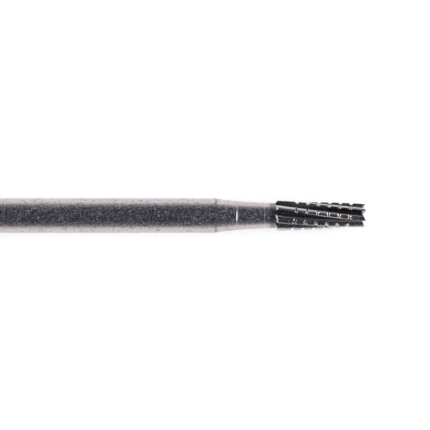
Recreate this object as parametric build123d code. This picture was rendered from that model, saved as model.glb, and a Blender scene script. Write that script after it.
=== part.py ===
from build123d import *
import math
import os

# A straight-handpiece carbide bur with a tapered, cross-cut fissure head, in millimetres.
# It is modelled upright, with z running from the free end of the shank to the tip, and is
# laid down along X at the end, as it lies on a bench. Angles are in degrees, counter-clockwise
# as seen from the tip, so a right-hand flute turns through rising angles towards the tip.

# ---- driving dimensions ------------------------------------------------------------------

overall_length = 44.5
shank_diameter = 2.35
shank_end_chamfer = 0.25

neck_length = 4.01
neck_shoulder_step = 0.03
neck_middle_setback = 1.88
neck_middle_diameter = 1.86
neck_front_diameter = 1.69

braze_setback = 2.60
braze_thickness = 0.13

head_length = 6.05
head_back_diameter = 2.10
head_tip_diameter = 1.60
head_swell = 0.02
head_shoulder_length = 0.09

blade_count = 7
flute_twist = 53.0
first_edge_angle = 14.0
rake_angle = 3.0
land_width = 0.15
land_drop = 0.012
relief_width = 0.22
relief_drop = 0.09
root_radius_back = 0.73
root_radius_middle = 0.52
root_radius_tip = 0.41
flute_floor_width = 0.06
flute_stations = 7

crosscut_pitch = 0.728
crosscut_width = 0.27
crosscut_depth = 0.12
crosscut_proud = 0.05
crosscut_back_setback = 5.05
crosscut_tip_setback = 0.80
crosscut_reference_setback = 3.09

end_relief_angle = 20.0
end_dish_depth = 0.20

# ---- derived places ----------------------------------------------------------------------

shank_radius = shank_diameter / 2
neck_front_radius = neck_front_diameter / 2
tip_z = overall_length
head_back_z = tip_z - head_length
cylinder_end_z = head_back_z - neck_length
braze_z = head_back_z - braze_setback
blade_pitch_angle = 360 / blade_count
cutter_reach = head_back_diameter


def along_head(z):
    """How far z lies from the back of the head to the tip, as a share of the head."""
    return (z - head_back_z) / head_length


def through_three(back, middle, tip, share):
    """Value at a share of the way on a parabola through its back, middle and tip values."""
    bulge = middle - (back + tip) / 2
    return back + (tip - back) * share + bulge * 4 * share * (1 - share)


def head_radius(z):
    """Radius of the cutting edges: a cone that is slightly full at its middle."""
    back = head_back_diameter / 2
    tip = head_tip_diameter / 2
    return through_three(back, (back + tip) / 2 + head_swell, tip, along_head(z))


def root_radius(z):
    """Radius of the core that the flutes leave."""
    return through_three(root_radius_back, root_radius_middle, root_radius_tip, along_head(z))


def edge_angle(z, blade):
    """Angle of one blade's cutting edge."""
    return first_edge_angle + flute_twist * along_head(z) + blade * blade_pitch_angle


def polar(radius, angle):
    """Point at a radius and an angle."""
    return Vector(radius, 0).rotate(Axis.Z, angle)


# ---- shank and neck ----------------------------------------------------------------------


def turned_bar():
    """Shank and neck as one turned bar, up to the back of the head."""
    neck_outline = ThreePointArc(
        (shank_radius - neck_shoulder_step, cylinder_end_z),
        (neck_middle_diameter / 2, head_back_z - neck_middle_setback),
        (neck_front_radius, head_back_z),
    )
    rest_of_outline = Polyline(
        (neck_front_radius, head_back_z),
        (0, head_back_z),
        (0, 0),
        (shank_radius - shank_end_chamfer, 0),
        (shank_radius, shank_end_chamfer),
        (shank_radius, cylinder_end_z),
        (shank_radius - neck_shoulder_step, cylinder_end_z),
    )
    half_section = make_face(neck_outline + rest_of_outline)
    return revolve(Plane.XZ * half_section, axis=Axis.Z)


def slice_of(solid, low_z, high_z):
    """The stretch of a solid between two heights."""
    slab = Cylinder(shank_diameter, high_z - low_z, align=(Align.CENTER, Align.CENTER, Align.MIN))
    return solid & (Pos(0, 0, low_z) * slab)


# ---- cutting head ------------------------------------------------------------------------


def blade_corners(z, blade):
    """Corners of one flute at a height: edge, floor, and the next blade's relief and land."""
    radius = head_radius(z)
    root = root_radius(z)
    edge = edge_angle(z, blade)
    undercut = (radius - root) * math.tan(math.radians(rake_angle))
    floor_start = edge - math.degrees(undercut / root)
    floor_end = floor_start + math.degrees(flute_floor_width / root)
    land_start = edge_angle(z, blade + 1) - math.degrees(land_width / radius)
    relief_start = land_start - math.degrees(relief_width / radius)
    return [
        polar(radius, edge),
        polar(root, floor_start),
        polar(root, floor_end),
        polar(radius - land_drop - relief_drop, relief_start),
        polar(radius - land_drop, land_start),
    ]


def head_section(z):
    """The section across all the blades at one height."""
    corners = []
    for blade in range(blade_count):
        corners += blade_corners(z, blade)
    return Pos(0, 0, z) * make_face(Polyline(*corners, close=True))


def fluted_blank():
    """The head with its helical flutes, lofted through twisted sections."""
    step = head_length / (flute_stations - 1)
    return loft([head_section(head_back_z + step * i) for i in range(flute_stations)])


def crosscut_tool():
    """The grinding wheel's path along the left-hand cross-cut, which notches every blade."""
    back_z = tip_z - crosscut_back_setback
    front_z = tip_z - crosscut_tip_setback
    height = front_z - back_z
    shrink = head_radius(back_z) - head_radius(front_z)
    path = Edge.make_helix(
        pitch=crosscut_pitch,
        height=height,
        radius=head_radius(back_z),
        angle=-math.degrees(math.atan(shrink / height)),
        lefthand=True,
    )
    half = crosscut_width / 2
    worn_round = ThreePointArc((0, half), (-crosscut_depth, 0), (0, -half))
    flanks = Polyline((0, -half), (crosscut_proud, -half), (crosscut_proud, half), (0, half))
    wheel = make_face(worn_round + flanks)
    start = Plane(origin=path @ 0, x_dir=(1, 0, 0), z_dir=path % 0)
    groove = sweep(start * wheel, path=path, is_frenet=True)
    turns_to_reference = (crosscut_back_setback - crosscut_reference_setback) / crosscut_pitch
    return Pos(0, 0, back_z) * Rot(0, 0, 360 * turns_to_reference) * groove


def end_relief_tool(blade):
    """What is ground off one blade's end, behind its cutting edge and down to the dish."""
    angle = edge_angle(tip_z, blade)
    centre = Vector(0, 0, tip_z - end_dish_depth)
    along_edge = polar(head_tip_diameter / 2, angle) + Vector(0, 0, end_dish_depth)
    sector = make_face(
        Polyline(
            (0, 0),
            polar(cutter_reach, angle - blade_pitch_angle),
            polar(cutter_reach, angle),
            close=True,
        )
    )
    block = Pos(0, 0, tip_z - head_tip_diameter) * extrude(sector, head_length)
    across = Vector(0, 0, 1).cross(along_edge).normalized()
    relief = math.radians(end_relief_angle)
    rising = across * math.cos(relief) + Vector(0, 0, 1) * math.sin(relief)
    ground_face = Plane(origin=centre, x_dir=along_edge, z_dir=along_edge.cross(rising))
    return split(block, bisect_by=ground_face, keep=Keep.TOP)


def shoulder_tool():
    """Ring that slopes the back of every blade down to the neck."""
    rise = head_back_diameter / 2 - neck_front_radius
    outer = neck_front_radius + 2 * rise
    corner = make_face(
        Polyline(
            (neck_front_radius, head_back_z),
            (outer, head_back_z + 2 * head_shoulder_length),
            (outer, head_back_z - head_shoulder_length),
            (neck_front_radius, head_back_z - head_shoulder_length),
            close=True,
        )
    )
    return revolve(Plane.XZ * corner, axis=Axis.Z)


def carbide_head():
    """The fluted blank with its shoulder, its relieved end and its cross-cut."""
    head = fluted_blank() - shoulder_tool()
    for blade in range(blade_count):
        head -= end_relief_tool(blade)
    return head - crosscut_tool()


print("shank and neck")
bar = turned_bar()
braze_low = braze_z - braze_thickness / 2
braze_high = braze_z + braze_thickness / 2
steel_shank = slice_of(bar, 0, braze_low)
braze_joint = slice_of(bar, braze_low, braze_high)

print("fluted head")
carbide_cutter = slice_of(bar, braze_high, head_back_z) + carbide_head()

# ---- laid down along X, resting on the shank ---------------------------------------------

lying = Plane(origin=(-overall_length / 2, 0, shank_radius), x_dir=(0, 1, 0), z_dir=(1, 0, 0))
os.makedirs("parts", exist_ok=True)
export_step(lying * steel_shank, "parts/steel_shank.step")
export_step(lying * braze_joint, "parts/braze_joint.step")
export_step(lying * carbide_cutter, "parts/carbide_cutter.step")
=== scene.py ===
import math
import bmesh
import bpy
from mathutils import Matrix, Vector


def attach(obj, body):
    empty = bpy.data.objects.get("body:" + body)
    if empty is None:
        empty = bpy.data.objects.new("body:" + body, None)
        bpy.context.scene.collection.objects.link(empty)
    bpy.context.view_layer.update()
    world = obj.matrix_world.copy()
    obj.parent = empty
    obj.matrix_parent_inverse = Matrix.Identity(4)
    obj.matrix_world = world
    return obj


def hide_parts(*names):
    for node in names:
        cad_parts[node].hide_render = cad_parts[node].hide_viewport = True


# A dental carbide bur, lying on a pale bench and looked down on.
# The tool's axis runs along X, the tip towards +X. Lengths in the dictionaries are in
# millimetres unless they say otherwise, and become metres where a mesh is made.

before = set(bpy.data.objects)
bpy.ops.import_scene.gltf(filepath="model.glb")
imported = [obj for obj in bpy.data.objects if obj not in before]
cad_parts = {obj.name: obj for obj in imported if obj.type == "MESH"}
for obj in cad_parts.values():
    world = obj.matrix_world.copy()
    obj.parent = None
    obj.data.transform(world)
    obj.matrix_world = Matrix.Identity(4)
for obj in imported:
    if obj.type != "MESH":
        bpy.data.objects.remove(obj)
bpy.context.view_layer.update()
mm = 0.001

tool = {
    "length": 44.5,
    "shankRadius": 1.175,
    "headLength": 6.05,
    "neckLength": 4.01,
    "brazeSetback": 2.60,  # middle of the joint, behind the head
    "brazeThickness": 0.13,
}
tipX = tool["length"] / 2
headX = tipX - tool["headLength"]
cylinderEndX = headX - tool["neckLength"]
brazeX = headX - tool["brazeSetback"]
axisZ = tool["shankRadius"]


class Wire:
    # an output socket that Python's own signs can do sums with
    def __init__(self, tree, socket):
        self.tree = tree
        self.socket = socket

    def math(self, operation, *others, clamp=False):
        settings = {"operation": operation, "use_clamp": clamp}
        return self.tree.add("ShaderNodeMath", settings, [self, *others])[0]

    def __add__(self, other): return self.math("ADD", other)
    def __radd__(self, other): return self.math("ADD", other)
    def __sub__(self, other): return self.math("SUBTRACT", other)
    def __mul__(self, other): return self.math("MULTIPLY", other)
    def __rmul__(self, other): return self.math("MULTIPLY", other)
    def __truediv__(self, other): return self.math("DIVIDE", other)
    def __mod__(self, other): return self.math("FLOORED_MODULO", other)
    def __pow__(self, other): return self.math("POWER", other)
    def __lt__(self, other): return self.math("LESS_THAN", other)
    def __gt__(self, other): return self.math("GREATER_THAN", other)
    def __abs__(self): return self.math("ABSOLUTE")

    def __rsub__(self, other):
        return (self * -1.0).math("ADD", other)

    def __rtruediv__(self, other):
        return (self ** -1.0) * other

    def clamp01(self):
        return self.math("ADD", 0.0, clamp=True)

    def atMost(self, other):
        return self.math("MINIMUM", other)

    def atLeast(self, other):
        return self.math("MAXIMUM", other)

    def sin(self):
        return self.math("SINE")

    def cos(self):
        return self.math("COSINE")

    def whole(self):
        return self.math("FLOOR")

    def ramp(self, low, high):
        # 0 below low, 1 above high, smooth between
        span = {"interpolation_type": "SMOOTHSTEP"}
        values = {"Value": self, "From Min": low, "From Max": high}
        return self.tree.add("ShaderNodeMapRange", span, values)[0]


class Tree:
    def __init__(self, nodeTree):
        self.nodes = nodeTree.nodes
        self.links = nodeTree.links
        self.column = 0

    def plug(self, socket, value):
        if isinstance(value, Wire):
            self.links.new(value.socket, socket)
        elif isinstance(value, bpy.types.NodeSocket):
            self.links.new(value, socket)
        else:
            socket.default_value = value

    def add(self, kind, settings=None, values=None):
        # makes a node: its settings first, then the values or links of its sockets
        node = self.nodes.new(kind)
        node.location = (self.column % 24 * 180, -(self.column // 24) * 260)
        self.column += 1
        for name, value in (settings or {}).items():
            if name == "stops":
                ramp = node.color_ramp
                while len(ramp.elements) < len(value):
                    ramp.elements.new(0.5)
                for element, (place, colour) in zip(ramp.elements, value):
                    element.position = place
                    element.color = colour
            else:
                setattr(node, name, value)
        pairs = enumerate(values) if isinstance(values, (list, tuple)) else (values or {}).items()
        for name, value in pairs:
            self.plug(node.inputs[name], value)
        return [Wire(self, socket) for socket in node.outputs if socket.enabled]


def choose(test, whenTrue, whenFalse):
    # test is 0 or 1
    return whenFalse + test * (whenTrue - whenFalse)


def between(a, b, share):
    return a + (b - a) * share


turning = {"segments": 160, "creaseAngle": 25, "onAxis": 1e-6}


def turned(name, outline):
    # spins an outline of (x, radius) points, on the axis at both ends, round the tool's axis
    segments = turning["segments"]
    bm = bmesh.new()
    rings = []
    for x, radius in outline:
        if radius < turning["onAxis"]:
            rings.append([bm.verts.new((x * mm, 0, axisZ * mm))])
            continue
        ring = []
        for i in range(segments):
            turn = 2 * math.pi * i / segments
            across, up = radius * mm * math.cos(turn), (axisZ + radius * math.sin(turn)) * mm
            ring.append(bm.verts.new((x * mm, across, up)))
        rings.append(ring)
    for back, front in zip(rings, rings[1:]):
        for i in range(segments):
            j = (i + 1) % segments
            if len(back) == 1:
                bm.faces.new((back[0], front[j], front[i]))
            elif len(front) == 1:
                bm.faces.new((back[i], back[j], front[0]))
            else:
                bm.faces.new((back[i], back[j], front[j], front[i]))
    bmesh.ops.recalc_face_normals(bm, faces=bm.faces)
    for face in bm.faces:
        face.smooth = True
    for edge in bm.edges:
        if len(edge.link_faces) == 2 and edge.calc_face_angle() > math.radians(turning["creaseAngle"]):
            edge.smooth = False
    mesh = bpy.data.meshes.new(name)
    bm.to_mesh(mesh)
    bm.free()
    piece = bpy.data.objects.new(name, mesh)
    bpy.context.scene.collection.objects.link(piece)
    return piece


def arcThrough(a, b, c, steps):
    # points on the circle through three (x, radius) points, from a to c
    ax, ay = a
    bx, by = b
    cx, cy = c
    d = 2 * (ax * (by - cy) + bx * (cy - ay) + cx * (ay - by))
    aa, bb, cc = ax * ax + ay * ay, bx * bx + by * by, cx * cx + cy * cy
    ux = (aa * (by - cy) + bb * (cy - ay) + cc * (ay - by)) / d
    uy = (aa * (cx - bx) + bb * (ax - cx) + cc * (bx - ax)) / d
    radius = math.hypot(ax - ux, ay - uy)
    points = []
    for i in range(steps + 1):
        x = ax + (cx - ax) * i / steps
        side = -1 if ay < uy else 1
        points.append((x, uy + side * math.sqrt(radius ** 2 - (x - ux) ** 2)))
    return points


def corner(before, at, after, size, steps):
    # a rounded corner as a few points on a curve that touches both sides
    a = Vector(at) + (Vector(before) - Vector(at)).normalized() * size
    c = Vector(at) + (Vector(after) - Vector(at)).normalized() * size
    points = []
    for i in range(steps + 1):
        t = i / steps
        points.append(tuple(a * (1 - t) ** 2 + Vector(at) * 2 * t * (1 - t) + c * t ** 2))
    return points


def divided(a, b, parts):
    return [tuple(Vector(a).lerp(Vector(b), i / parts)) for i in range(1, parts)]


neck = {
    "shoulderStep": 0.03,
    "middleSetback": 1.88,
    "middleRadius": 0.93,
    "frontRadius": 0.845,
    "steps": 48,
}
neckLine = arcThrough(
    (cylinderEndX, tool["shankRadius"] - neck["shoulderStep"]),
    (headX - neck["middleSetback"], neck["middleRadius"]),
    (headX, neck["frontRadius"]),
    neck["steps"],
)


def neckRadius(x):
    for (x0, r0), (x1, r1) in zip(neckLine, neckLine[1:]):
        if x0 <= x <= x1:
            return r0 + (r1 - r0) * (x - x0) / (x1 - x0)
    return neck["frontRadius"]


brazeBackX = brazeX - tool["brazeThickness"] / 2
brazeFrontX = brazeX + tool["brazeThickness"] / 2
apart = 1e-6  # keeps two rings from meeting

# steel shank, with its chamfered free end and the first part of the neck
print("steel shank")
shank = {"chamfer": 0.25, "edgeRound": 0.02, "roundSteps": 3, "keepFlat": 0.02, "ringsEvery": 1.6}
endCentre = (-tipX, 0.0)
chamferStart = (-tipX, axisZ - shank["chamfer"])
chamferEnd = (-tipX + shank["chamfer"], axisZ)
startRound = corner(endCentre, chamferStart, chamferEnd, shank["edgeRound"], shank["roundSteps"])
cylinderEnd = (cylinderEndX, axisZ)
endRound = corner(chamferStart, chamferEnd, cylinderEnd, shank["edgeRound"], shank["roundSteps"])
flat = shank["keepFlat"]  # rings beside each rounded edge hold the faces flat
shankOutline = [endCentre, (-tipX, startRound[0][1] - flat)] + startRound
shankOutline += [
    (startRound[-1][0] + flat, startRound[-1][1] + flat),
    (endRound[0][0] - flat, endRound[0][1] - flat),
]
shankOutline += endRound + [(endRound[-1][0] + flat, axisZ)]
ringCount = int((cylinderEndX - chamferEnd[0]) / shank["ringsEvery"])
for i in range(1, ringCount):
    shankOutline.append((between(chamferEnd[0], cylinderEndX, i / ringCount), axisZ))
shankOutline.append(cylinderEnd)
shankOutline += [point for point in neckLine if point[0] < brazeBackX - apart]
shankOutline += [(brazeBackX, neckRadius(brazeBackX)), (brazeBackX, 0.0)]
steelShank = turned("steelShank", shankOutline)

# brazed joint between steel and carbide, a shade thinner than the neck
print("braze ring")
# lean puts the channel's bottom nearer the head
braze = {"recess": 0.03, "lean": 1.8, "steps": 12}
brazeOutline = [(brazeBackX, 0.0)]
for i in range(braze["steps"] + 1):
    x = between(brazeBackX, brazeFrontX, i / braze["steps"])
    hollow = braze["recess"] * math.sin(math.pi * (i / braze["steps"]) ** braze["lean"])
    brazeOutline.append((x, neckRadius(x) - hollow))
brazeOutline.append((brazeFrontX, 0.0))
brazeRing = turned("brazeRing", brazeOutline)


head = {
    "Head Length": 6.05,
    "Back Radius": 1.05,
    "Tip Radius": 0.80,
    "Swell": 0.02,
    "Root Back": 0.73,
    "Root Middle": 0.52,
    "Root Tip": 0.41,
    "Neck Radius": 0.845,
    "Shoulder Length": 0.15,
    "Shoulder Round": 0.06,
    "Blades": 7,
    "Twist": 53.0,  # degrees, over the head's length
    "First Edge": 14.0,  # degrees
    "Groove Pitch": 0.728,
    "Groove Half Width": 0.135,
    "Groove Depth": 0.12,
    "Groove At Angle 0": 3.09,  # behind the tip
    "Groove Back": 5.05,  # where the grooves begin, behind the tip
    "Grooves": 6,  # on each blade
    "End Relief": 20.0,  # degrees
    "End Dish": 0.20,
    "Tip Place": tipX,
    "Axis Height": axisZ,
}
angleInputs = {"Twist", "First Edge", "End Relief"}
countInputs = {"Blades", "Grooves"}
lengthInputs = set(head) - angleInputs - countInputs
middleRadius = (head["Back Radius"] + head["Tip Radius"]) / 2 + head["Swell"]
blade = {
    # widths round the tool are as at the cutting edges, at the middle of the head
    "pitchArc": 2 * math.pi * middleRadius / head["Blades"],
    "height": 0.42,
    "floorWidth": 0.18,
    "floorRound": 0.09,
    "floorEndRound": 0.036,
    "landWidth": 0.15,
    "landDrop": 0.012,
    "reliefWidth": 0.22,
    "reliefDrop": 0.09,
    "reliefRound": 0.08,
    "landRound": 0.01,
    "edgeBevel": 0.035,
    "rakeFoot": 0.16,
}
# faces on each rounded corner and on each flat side of a blade
fineness = {
    "floorRound": 4, "floorEndRound": 3, "reliefRound": 5, "landRound": 2, "edgeBevel": 1,
    "back": 6, "relief": 5, "land": 3, "rake": 6,
}
# the head's first rows lie inside the neck, this far back and this far under its surface
insideNeck = {"back": 0.05, "under": 0.03}
creaseAngle = 28  # degrees
leastCut = 0.002
mergeWithin = 2e-7  # metres
rows = {"back": 20, "shoulder": 14, "groove": 12, "land": 5, "tip": 4, "end": 9}


def bladeProfile():
    # from the foot of one rake face, through the flute, over the land, down the next rake face;
    # x is the share of the pitch and y the share of the blade's height
    arc, high = blade["pitchArc"], blade["height"]
    foot = (0, blade["rakeFoot"])
    floorStart = (0, 0)
    floorEnd = (blade["floorWidth"], 0)
    landBack = (arc - blade["landWidth"], high - blade["landDrop"])
    reliefBack = (landBack[0] - blade["reliefWidth"], landBack[1] - blade["reliefDrop"])
    edge = (arc, high)
    nextFoot = (arc, blade["rakeFoot"])
    startRound = corner(foot, floorStart, floorEnd, blade["floorRound"], fineness["floorRound"])
    endRound = corner(
        floorStart, floorEnd, reliefBack, blade["floorEndRound"], fineness["floorEndRound"]
    )
    backRound = corner(floorEnd, reliefBack, landBack, blade["reliefRound"], fineness["reliefRound"])
    landRound = corner(reliefBack, landBack, edge, blade["landRound"], fineness["landRound"])
    edgeBevel = corner(landBack, edge, nextFoot, blade["edgeBevel"], fineness["edgeBevel"])
    points = [foot] + startRound + endRound
    points += divided(endRound[-1], backRound[0], fineness["back"]) + backRound
    points += divided(backRound[-1], landRound[0], fineness["relief"]) + landRound
    points += divided(landRound[-1], edgeBevel[0], fineness["land"]) + edgeBevel
    points += divided(edgeBevel[-1], nextFoot, fineness["rake"]) + [nextFoot]
    return [(x / arc, y / high) for x, y in points]


def headTree():
    group = bpy.data.node_groups.new("flutedHead", "GeometryNodeTree")
    group.interface.new_socket("Geometry", in_out="INPUT", socket_type="NodeSocketGeometry")
    for name in head:
        kind = "NodeSocketInt" if name in countInputs else "NodeSocketFloat"
        group.interface.new_socket(name, in_out="INPUT", socket_type=kind)
    group.interface.new_socket("Material", in_out="INPUT", socket_type="NodeSocketMaterial")
    group.interface.new_socket("Geometry", in_out="OUTPUT", socket_type="NodeSocketGeometry")
    tree = Tree(group)
    inputNode = group.nodes.new("NodeGroupInput")
    size = {socket.name: Wire(tree, socket) for socket in inputNode.outputs if socket.name}

    # the profile comes in as a row of points: x share of the pitch, y share of the height
    profile = size["Geometry"]
    perBlade = tree.add("GeometryNodeAttributeDomainSize", {"component": "MESH"}, [profile])[0]
    columns = perBlade * size["Blades"] + 1
    grooveRows = size["Grooves"] * (rows["groove"] + rows["land"]) - rows["land"] + 1
    rowCount = grooveRows + (rows["back"] + rows["tip"] + rows["end"])
    grid = tree.add("GeometryNodeMeshGrid", None, {"Vertices X": rowCount, "Vertices Y": columns})[0]
    index = tree.add("GeometryNodeInputIndex")[0]
    row = ((index + 0.5) / columns).whole()
    column = index - row * columns
    bladeNumber = ((column + 0.5) / perBlade).whole()
    place = column - bladeNumber * perBlade
    position = tree.add("GeometryNodeInputPosition")[0]
    picked = tree.add(
        "GeometryNodeSampleIndex", {"data_type": "FLOAT_VECTOR", "domain": "POINT"},
        {"Geometry": profile, "Value": position, "Index": place},
    )[0]
    share, height = tree.add("ShaderNodeSeparateXYZ", None, [picked])[:2]

    # angles in degrees, lengths along the axis counted from the back of the head
    length = size["Head Length"]
    pitchAngle = 360.0 / size["Blades"]
    twistRate = size["Twist"] / length
    bladeAngle = bladeNumber * pitchAngle
    behind = (1.0 - share) * pitchAngle  # how far behind its own cutting edge

    def parabola(back, middle, tip, along):
        bulge = middle - (back + tip) * 0.5
        return back + (tip - back) * along + bulge * 4.0 * along * (1.0 - along)

    def edgeRadius(x):
        middle = (size["Back Radius"] + size["Tip Radius"]) * 0.5 + size["Swell"]
        return parabola(size["Back Radius"], middle, size["Tip Radius"], x / length)

    def rootRadius(x):
        return parabola(size["Root Back"], size["Root Middle"], size["Root Tip"], x / length)

    # the groove runs left-handed round all blades, so its centres come closer along a twisted blade
    turnRate = 360.0 / size["Groove Pitch"]
    meetRate = turnRate + twistRate
    spacing = 360.0 / meetRate
    grooveZero = length - size["Groove At Angle 0"]
    grooveStart = length - size["Groove Back"]
    meeting = (turnRate * grooveZero - size["First Edge"] - bladeAngle) / meetRate
    firstOnEdge = grooveStart + (meeting - grooveStart) % spacing
    firstHere = firstOnEdge + behind / meetRate
    onBlade = height.ramp(0.05, 0.5)
    firstGroove = between(grooveStart + spacing * 0.5, firstHere, onBlade)

    # rows along the head: shoulder, land before the grooves, grooves and lands, land to the end
    half = size["Groove Half Width"]
    shoulder = size["Shoulder Length"]
    shoulderEnd = rows["shoulder"] + 2.0
    shoulderShare = ((row - 2.0) / rows["shoulder"]).clamp01()
    landShare = ((row - shoulderEnd) / (rows["back"] - shoulderEnd)).clamp01()
    shoulderX = shoulder * shoulderShare
    backX = between(shoulderX, firstGroove - half, landShare) - (row < 1.5) * (insideNeck["back"] * mm)
    step = row - rows["back"]
    period = rows["groove"] + rows["land"]
    groove = (step / period).whole()
    stepIn = step - groove * period
    arcAngle = (stepIn / rows["groove"]).clamp01() * math.pi
    pastShare = ((stepIn - rows["groove"]) / rows["land"]).atLeast(0.0)
    grooveX = firstGroove + groove * spacing - arcAngle.cos() * half + (spacing - half * 2.0) * pastShare
    inGrooves = (row > rows["back"] - 0.5) * (row < grooveRows + (rows["back"] - 0.5))
    across = arcAngle.sin().atLeast(0.0)
    cutDepth = across ** 1.5 * size["Groove Depth"]
    cutDepth = cutDepth * inGrooves * (stepIn < rows["groove"] + 0.5)

    # the ground end: each blade slopes away behind its edge and dips towards the middle
    behindRadians = behind * (math.pi / 180.0)
    relief = (size["End Relief"] * (math.pi / 180.0)).math("TANGENT")

    def endX(radius):
        along = radius * behindRadians.cos()
        away = radius * behindRadians.sin()
        return length - size["End Dish"] + along * (size["End Dish"] / size["Tip Radius"]) - away * relief

    tipProfile = between(size["Root Tip"], size["Tip Radius"], height)
    rim = endX(tipProfile)
    lastGroove = firstGroove + (size["Grooves"] - 1.0) * spacing + half
    tipShare = ((row - (grooveRows + (rows["back"] - 1.0))) / rows["tip"]).clamp01()
    landX = between(lastGroove, rim, tipShare)
    frontX = choose(row < grooveRows + (rows["back"] - 0.5), grooveX, landX)
    alongX = choose(row < rows["back"] - 0.5, backX, frontX)

    # radius of each row: blade profile, cut by the shoulder and by the groove
    edgeHere = edgeRadius(alongX)
    profileHere = between(rootRadius(alongX), edgeHere, height)
    shoulderRise = size["Back Radius"] - size["Neck Radius"]
    shoulderLine = size["Neck Radius"] + shoulderRise * (alongX / size["Shoulder Length"])
    shoulderLine = shoulderLine + (row > shoulderEnd - 0.5) * mm - (row < 1.5) * (insideNeck["under"] * mm)
    rounded = profileHere.math("SMOOTH_MIN", shoulderLine, size["Shoulder Round"])
    bodyRadius = rounded.atMost(edgeHere - cutDepth) * (row > 0.5)
    endShare = ((row - (grooveRows + (rows["back"] + rows["tip"] - 1.0))) / rows["end"]).clamp01()
    onEnd = row > grooveRows + (rows["back"] + rows["tip"] - 0.5)
    ringRadius = size["Tip Radius"] * (1.0 - endShare) * 1.0001
    endRadius = bodyRadius.atMost(ringRadius)
    radius = choose(onEnd, endRadius, bodyRadius)
    x = choose(onEnd, endX(endRadius), alongX)

    angle = size["First Edge"] + bladeAngle - behind + twistRate * alongX
    turn = angle * (math.pi / 180.0)
    back = size["Tip Place"] - length
    placed = tree.add(
        "ShaderNodeCombineXYZ", None,
        [x + back, turn.cos() * radius, turn.sin() * radius + size["Axis Height"]],
    )[0]
    shaped = tree.add("GeometryNodeSetPosition", None, {"Geometry": grid, "Position": placed})[0]

    # how near each point is to a cutting edge, for the painted highlight there; the groove cuts and the
    # flutes are marked too, for their finish and painted shade
    nearEdge = (height.ramp(0.9, 1.0)) * (share.ramp(0.9, 0.99))
    freshCut = rounded > edgeHere - cutDepth + leastCut * mm
    marked = shaped
    for name, value in (("nearEdge", nearEdge), ("freshCut", freshCut), ("ground", height.ramp(0.25, 0.62))):
        marked = tree.add(
            "GeometryNodeStoreNamedAttribute", {"data_type": "FLOAT", "domain": "POINT"},
            {"Geometry": marked, "Name": name, "Value": value},
        )[0]
    merged = tree.add("GeometryNodeMergeByDistance", None, {"Geometry": marked, "Distance": mergeWithin})[0]
    outward = tree.add("GeometryNodeFlipFaces", None, [merged])[0]
    smooth = tree.add(
        "GeometryNodeSetShadeSmooth", {"domain": "FACE"}, {"Geometry": outward, "Shade Smooth": True}
    )[0]
    faceAngle = tree.add("GeometryNodeInputMeshEdgeAngle")[0]
    creased = tree.add(
        "GeometryNodeSetShadeSmooth", {"domain": "EDGE"},
        {"Geometry": smooth, "Selection": faceAngle > math.radians(creaseAngle), "Shade Smooth": False},
    )[0]
    real = tree.add("GeometryNodeRealizeInstances", None, [creased])[0]
    painted = tree.add("GeometryNodeSetMaterial", None, {"Geometry": real, "Material": size["Material"]})[0]
    output = group.nodes.new("NodeGroupOutput")
    tree.plug(output.inputs[0], painted)
    return group


def flutedHead(material):
    profileMesh = bpy.data.meshes.new("bladeProfile")
    points = bladeProfile()
    profileMesh.from_pydata([(x, y, 0) for x, y in points], [(i, i + 1) for i in range(len(points) - 1)], [])
    carrier = bpy.data.objects.new("flutedHead", profileMesh)
    bpy.context.scene.collection.objects.link(carrier)
    group = headTree()
    modifier = carrier.modifiers.new("flutedHead", "NODES")
    modifier.node_group = group
    for item in group.interface.items_tree:
        if item.in_out == "INPUT" and item.name in head:
            value = head[item.name]
            if item.name in countInputs:
                modifier[item.identifier] = int(value)
            else:
                modifier[item.identifier] = float(value) * (mm if item.name in lengthInputs else 1.0)
        elif item.in_out == "INPUT" and item.name == "Material":
            modifier[item.identifier] = material
    evaluated = carrier.evaluated_get(bpy.context.evaluated_depsgraph_get())
    mesh = bpy.data.meshes.new_from_object(evaluated)
    carrier.modifiers.remove(modifier)
    bpy.data.objects.remove(carrier)
    return mesh


def newMaterial(name):
    material = bpy.data.materials.new(name)
    material.use_nodes = True
    material.node_tree.nodes.clear()
    return material, Tree(material.node_tree)


def finishMetal(tree, values):
    shader = tree.add("ShaderNodeBsdfPrincipled", None, values)[0]
    tree.add("ShaderNodeOutputMaterial", None, {"Surface": shader})


def tinted(tree, colour, factor):
    # a colour made lighter or darker by a number
    return tree.add("ShaderNodeVectorMath", {"operation": "SCALE"}, {0: colour[:3], "Scale": factor})[0]


steelLook = {
    "colour": (0.60, 0.55, 0.55),
    "stainAndShadeColour": (0.30, 0.26, 0.26),
    "roughness": 0.19,
    "grainSize": 0.085,
    "grainDepth": 0.012,
    "pitSize": 0.15,
    "glintSize": 0.095,
    "lineX": cylinderEndX,
    "lineWidth": 0.12,
    "cloudSize": 1.4,
    "streakSize": 0.16,
    "shade": {"base": 0.34, "grain": 0.76, "clouds": 0.24, "streaks": 0.24, "glints": 0.35},
    "stainAndShade": {"from": 0.52, "to": 0.64, "pits": 0.85, "shadedRing": 0.8},
    "rough": {"specks": 0.34, "glints": 0.50, "shadedRing": 0.2},
}
# where the noise counts as a dull speck and as a glint, on both ground metals
speckRange = (0.44, 0.68)
glintRange = (0.60, 0.70)
bumpMix = {"grain": 0.7, "second": 0.3}


def grainOf(tree, place, size, detail=3.0, stretch=(1, 1, 1)):
    # cloudy noise whose spots are about size across, in millimetres
    shaped = tree.add("ShaderNodeMapping", {"vector_type": "POINT"}, {"Vector": place, "Scale": stretch})[0]
    values = {"Vector": shaped, "Scale": 1 / (size * mm), "Detail": detail, "Roughness": 0.62}
    return tree.add("ShaderNodeTexNoise", None, values)[0]


def nearX(tree, place, x, width):
    # 1 on a ring round the tool at x, 0 further than width away
    along = tree.add("ShaderNodeSeparateXYZ", None, [place])[0]
    away = abs(along - x * mm)
    return 1.0 - away.ramp(0.0, width * mm)


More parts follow.
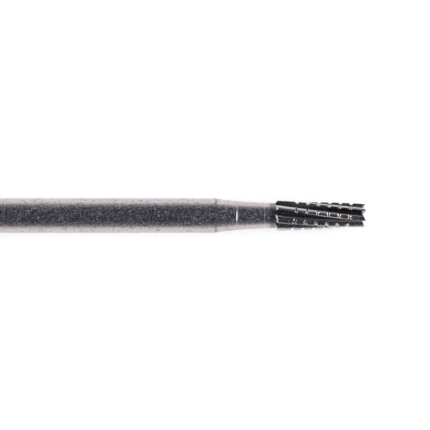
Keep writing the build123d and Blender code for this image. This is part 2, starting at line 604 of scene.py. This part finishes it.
def groundSteel():
    material, tree = newMaterial("groundSteel")
    place = tree.add("ShaderNodeTexCoord")[3]
    grain = grainOf(tree, place, steelLook["grainSize"])
    pits = grainOf(tree, place, steelLook["pitSize"], 4.0, (0.6, 1, 1))
    clouds = grainOf(tree, place, steelLook["cloudSize"], 2.0, (0.4, 1, 1))
    # painted shade: a dark ring at lineX, in the corner where the shank steps down to the neck, and rougher
    # there too
    shadedRing = nearX(tree, place, steelLook["lineX"], steelLook["lineWidth"])
    specks = grain.ramp(*speckRange)
    glints = grainOf(tree, place, steelLook["glintSize"], 2.0, (0.8, 1, 1)).ramp(*glintRange)
    streaks = grainOf(tree, place, steelLook["streakSize"], 3.0, (0.02, 1, 1))
    part = steelLook["shade"]
    shade = part["base"] + grain * part["grain"] + clouds * part["clouds"]
    shade = shade + streaks * part["streaks"] + glints * part["glints"]
    metal = tinted(tree, steelLook["colour"], shade)
    stainAndShadeParts, rough = steelLook["stainAndShade"], steelLook["rough"]
    pitted = pits.ramp(stainAndShadeParts["from"], stainAndShadeParts["to"])
    # the colour darkens with real stains on the pits and with the painted shade of that ring
    stainAndShade = (pitted * stainAndShadeParts["pits"] + shadedRing * stainAndShadeParts["shadedRing"]).clamp01()
    worn = tree.add(
        "ShaderNodeMix", {"data_type": "RGBA"},
        {"Factor": stainAndShade, 6: metal, 7: (*steelLook["stainAndShadeColour"], 1)},
    )[0]
    uneven = grain * bumpMix["grain"] + pits * bumpMix["second"]
    bump = tree.add(
        "ShaderNodeBump", None,
        {"Strength": 1.0, "Distance": steelLook["grainDepth"] * mm, "Height": uneven},
    )[0]
    roughened = specks * rough["specks"] + glints * rough["glints"] + shadedRing * rough["shadedRing"]
    finishMetal(tree, {
        "Base Color": worn,
        "Metallic": 1.0,
        "Roughness": steelLook["roughness"] + roughened,
        "Normal": bump,
    })
    return material


brazeLook = {
    "colour": (0.38, 0.38, 0.41),
    "stainAndShadeColour": (0.50, 0.43, 0.42),
    "roughness": 0.24,
    "grainSize": 0.11,
    "grainDepth": 0.01,
    "ragged": 0.3,
    "shadedTopAndBottom": (-0.10, 0.38),  # how far out from the middle the painted shade fades
}


def brazeMetal():
    material, tree = newMaterial("brazeMetal")
    place = tree.add("ShaderNodeTexCoord")[3]
    grain = grainOf(tree, place, brazeLook["grainSize"])
    depth = brazeLook["grainDepth"] * mm
    bump = tree.add("ShaderNodeBump", None, {"Strength": 1.0, "Distance": depth, "Height": grain})[0]
    # painted shade and light: the joint is painted darker and greyer along its top and bottom, and lighter
    # and browner at its sides
    across = abs(tree.add("ShaderNodeSeparateXYZ", None, [place])[1])
    fade = [width * mm for width in brazeLook["shadedTopAndBottom"]]
    shadedTopAndBottom = 1.0 - (across + (grain - 0.5) * (brazeLook["ragged"] * mm)).ramp(*fade)
    stainedAndShaded = tree.add(
        "ShaderNodeMix", {"data_type": "RGBA"},
        {
            "Factor": shadedTopAndBottom,
            6: (*brazeLook["stainAndShadeColour"], 1),
            7: tinted(tree, brazeLook["colour"], 0.8 + grain * 0.4),
        },
    )[0]
    finishMetal(tree, {
        "Base Color": stainedAndShaded,
        "Metallic": 1.0,
        "Roughness": brazeLook["roughness"] + (grain - 0.5) * 0.2,
        "Normal": bump,
    })
    return material


carbideLook = {
    "colour": (0.58, 0.53, 0.53),
    "headColour": (0.57, 0.53, 0.51),
    "edgeHighlightColour": (0.86, 0.84, 0.82),
    "stainAndShadeColour": (0.20, 0.165, 0.16),
    "roughness": 0.19,
    "headRoughness": 0.11,
    "grainSize": 0.085,
    "grainDepth": 0.012,
    "glintSize": 0.095,
    "fluteShade": 0.62,
    "markSetback": 0.75,
    "markWidth": 0.06,
    "ringSize": 0.5,
    "darkBehindHead": {"from": 0.55, "to": 0.25, "ragged": 0.25, "strength": 0.75},  # behind the head
    "shade": {"base": 0.46, "grain": 0.72, "rings": 0.2, "glints": 0.3, "mark": 0.25, "shadedCut": 0.2},
    "rough": {"specks": 0.34, "glints": 0.50, "mark": 0.15, "headSmoother": 0.35, "freshSmoother": 0.8},
    "edgeHighlight": 0.6,
}


def tungstenCarbide():
    material, tree = newMaterial("tungstenCarbide")
    place = tree.add("ShaderNodeTexCoord")[3]
    grain = grainOf(tree, place, carbideLook["grainSize"])
    rings = grainOf(tree, place, carbideLook["ringSize"], 2.0, (9, 0.6, 0.6))
    along = tree.add("ShaderNodeSeparateXYZ", None, [place])[0]
    onHead = along.ramp((headX - 0.05) * mm, (headX + 0.05) * mm)
    edge = tree.add("ShaderNodeAttribute", {"attribute_name": "nearEdge"})[2]
    # freshCut marks the groove cuts: smoother there, and painted shade darkens them
    shadedCut = tree.add("ShaderNodeAttribute", {"attribute_name": "freshCut"})[2]
    base = tree.add(
        "ShaderNodeMix", {"data_type": "RGBA"},
        {"Factor": onHead, 6: (*carbideLook["colour"], 1), 7: (*carbideLook["headColour"], 1)},
    )[0]
    # darker, browner zone of the neck, just behind the head, with a ragged edge
    zone = carbideLook["darkBehindHead"]
    raggedX = along + (rings - 0.5) * (zone["ragged"] * mm)
    darkBehindHead = raggedX.ramp((headX - zone["from"]) * mm, (headX - zone["to"]) * mm) * (1.0 - onHead)
    specks = grain.ramp(*speckRange)
    glints = grainOf(tree, place, carbideLook["glintSize"], 2.0).ramp(*glintRange) * (1.0 - shadedCut)
    ground = tree.add("ShaderNodeAttribute", {"attribute_name": "ground"})[2]  # 0 deep in a flute
    # a faint turned line
    mark = nearX(tree, place, headX - carbideLook["markSetback"], carbideLook["markWidth"])
    part = carbideLook["shade"]
    shade = part["base"] + grain * part["grain"] + rings * part["rings"]
    shade = shade + glints * part["glints"] + mark * part["mark"]
    # painted shade: the head is darker deep in the flutes and in the groove cuts
    inFlute = onHead * (1.0 - ground)
    shade = shade * (1.0 - inFlute * (1.0 - carbideLook["fluteShade"])) * (1.0 - shadedCut * part["shadedCut"])
    plain = tree.add("ShaderNodeVectorMath", {"operation": "SCALE"}, {0: base, "Scale": shade})[0]
    stainedAndShaded = tree.add(
        "ShaderNodeMix", {"data_type": "RGBA"},
        {"Factor": darkBehindHead * zone["strength"], 6: plain, 7: (*carbideLook["stainAndShadeColour"], 1)},
    )[0]
    # painted highlight: the colour turns pale along the cutting edges
    colour = tree.add(
        "ShaderNodeMix", {"data_type": "RGBA"},
        {"Factor": edge * carbideLook["edgeHighlight"], 6: stainedAndShaded, 7: (*carbideLook["edgeHighlightColour"], 1)},
    )[0]
    rough = carbideLook["rough"]
    smoother = rough["freshSmoother"]
    uneven = grain * bumpMix["grain"] + rings * bumpMix["second"]
    height = uneven * (1.0 - shadedCut * smoother)
    polish = between(carbideLook["roughness"], carbideLook["headRoughness"], onHead)
    bump = tree.add(
        "ShaderNodeBump", None,
        {"Strength": 1.0, "Distance": carbideLook["grainDepth"] * mm, "Height": height},
    )[0]
    roughened = specks * rough["specks"] + glints * rough["glints"]
    roughened = roughened * (1.0 - onHead * rough["headSmoother"]) * (1.0 - shadedCut * smoother)
    finishMetal(tree, {
        "Base Color": colour,
        "Metallic": 1.0,
        "Roughness": polish + roughened + mark * rough["mark"],
        "Normal": bump,
    })
    return material


print("finishes")
steelFinish = groundSteel()
brazeFinish = brazeMetal()
carbideFinish = tungstenCarbide()

print("carbide cutter")
neckOutline = [(brazeFrontX, 0.0), (brazeFrontX, neckRadius(brazeFrontX))]
neckOutline += [point for point in neckLine if point[0] > brazeFrontX + apart]
neckOutline.append((headX, 0.0))
carbideCutter = turned("carbideCutter", neckOutline)
headMesh = flutedHead(carbideFinish)
joined = bmesh.new()
joined.from_mesh(carbideCutter.data)
joined.from_mesh(headMesh)
joined.to_mesh(carbideCutter.data)
joined.free()
print("  triangles", sum(len(polygon.vertices) - 2 for polygon in carbideCutter.data.polygons))

for piece, finish, node, slotName in (
    (steelShank, steelFinish, "steel_shank", "ground_steel"),
    (brazeRing, brazeFinish, "braze_joint", "braze_metal"),
    (carbideCutter, carbideFinish, "carbide_cutter", "tungsten_carbide"),
):
    piece.data.materials.clear()
    piece.data.materials.append(finish)
    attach(piece, "root")
    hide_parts(node)


print("bench and light")
bench = {"size": 3.0, "colour": 0.7, "glow": 0.50}
benchMesh = bpy.data.meshes.new("bench")
reach = bench["size"] / 2
benchMesh.from_pydata(
    [(-reach, -reach, 0), (reach, -reach, 0), (reach, reach, 0), (-reach, reach, 0)], [], [(0, 1, 2, 3)]
)
benchTop = bpy.data.objects.new("benchTop", benchMesh)
bpy.context.scene.collection.objects.link(benchTop)
benchFinish, tree = newMaterial("paleBench")
rays = tree.add("ShaderNodeLightPath")
seen = rays[0].atLeast(rays[3]).atLeast(rays[6])  # camera, glossy and transmission rays
matte = tree.add("ShaderNodeBsdfDiffuse", None, {"Color": (bench["colour"],) * 3 + (1,)})[0]
glow = tree.add("ShaderNodeEmission", None, {"Color": (1, 1, 1, 1), "Strength": seen * bench["glow"]})[0]
both = tree.add("ShaderNodeAddShader", None, [matte, glow])[0]
tree.add("ShaderNodeOutputMaterial", None, {"Surface": both})
benchMesh.materials.append(benchFinish)

room = {
    # share of the way from level to overhead, and how bright the room is there
    "stops": [
        (0.0, (0.93, 0.89, 0.87)), (0.10, (0.62, 0.62, 0.64)), (0.22, (0.36, 0.375, 0.43)),
        (0.36, (0.185, 0.197, 0.255)), (0.70, (0.062, 0.068, 0.106)), (0.96, (0.036, 0.040, 0.066)),
        (1.0, (0.095, 0.100, 0.130)),
    ],
}
world = bpy.data.worlds.new("studio")
bpy.context.scene.world = world
world.use_nodes = True
world.node_tree.nodes.clear()
tree = Tree(world.node_tree)
direction = tree.add("ShaderNodeTexCoord")[0]
up = tree.add("ShaderNodeSeparateXYZ", None, [direction])[2]
stops = [(place, (*colour, 1)) for place, colour in room["stops"]]
sky = tree.add("ShaderNodeValToRGB", {"stops": stops}, [up.atLeast(0.0)])[0]
rays = tree.add("ShaderNodeLightPath")
backdrop = tree.add("ShaderNodeMix", {"data_type": "RGBA"}, {"Factor": rays[0], 6: sky, 7: (1, 1, 1, 1)})[0]
air = tree.add("ShaderNodeBackground", None, {"Color": backdrop, "Strength": 1.0})[0]
tree.add("ShaderNodeOutputWorld", None, {"Surface": air})


def softBox(name, place, aim, width, depth, power):
    data = bpy.data.lights.new(name, "AREA")
    data.shape = "RECTANGLE"
    data.size = width
    data.size_y = depth
    data.energy = power
    lamp = bpy.data.objects.new(name, data)
    lamp.location = place
    lamp.rotation_euler = (Vector(aim) - Vector(place)).to_track_quat("-Z", "Y").to_euler()
    bpy.context.scene.collection.objects.link(lamp)
    return lamp


fill = {"strength": 1.2, "spread": 100.0}  # lights the bench evenly, and isn't mirrored in the metal
fillData = bpy.data.lights.new("fill", "SUN")
fillData.energy = fill["strength"]
fillData.angle = math.radians(fill["spread"])
fillLamp = bpy.data.objects.new("fill", fillData)
fillLamp.location = (0, 0, 0.5)
fillLamp.visible_glossy = False
bpy.context.scene.collection.objects.link(fillLamp)
# one lamp box beyond each end of the tool, in metres and watts
boxes = {
    "out": 0.45, "turned": 0.06, "behind": 0.03, "height": 0.19,
    "aim": (0, 0, 0.002), "size": (0.46, 0.34), "power": 1.6,
}
for side in (-1, 1):
    place = (side * boxes["out"], boxes["behind"] - side * boxes["turned"], boxes["height"])
    softBox("sideBox", place, boxes["aim"], *boxes["size"], boxes["power"])

camera = {"beyondTip": -10.13, "height": 80.9, "lens": 100.0, "sideways": 0.037}
cameraData = bpy.data.cameras.new("camera")
cameraData.lens = camera["lens"]
cameraData.sensor_width = 36.0
cameraData.clip_start = 0.002
cameraObject = bpy.data.objects.new("camera", cameraData)
cameraObject.location = (
    (tipX + camera["beyondTip"]) * mm, camera["sideways"] * mm, (axisZ + camera["height"]) * mm
)
bpy.context.scene.collection.objects.link(cameraObject)
bpy.context.scene.camera = cameraObject
bpy.context.scene.view_settings.view_transform = "Standard"

print("done")
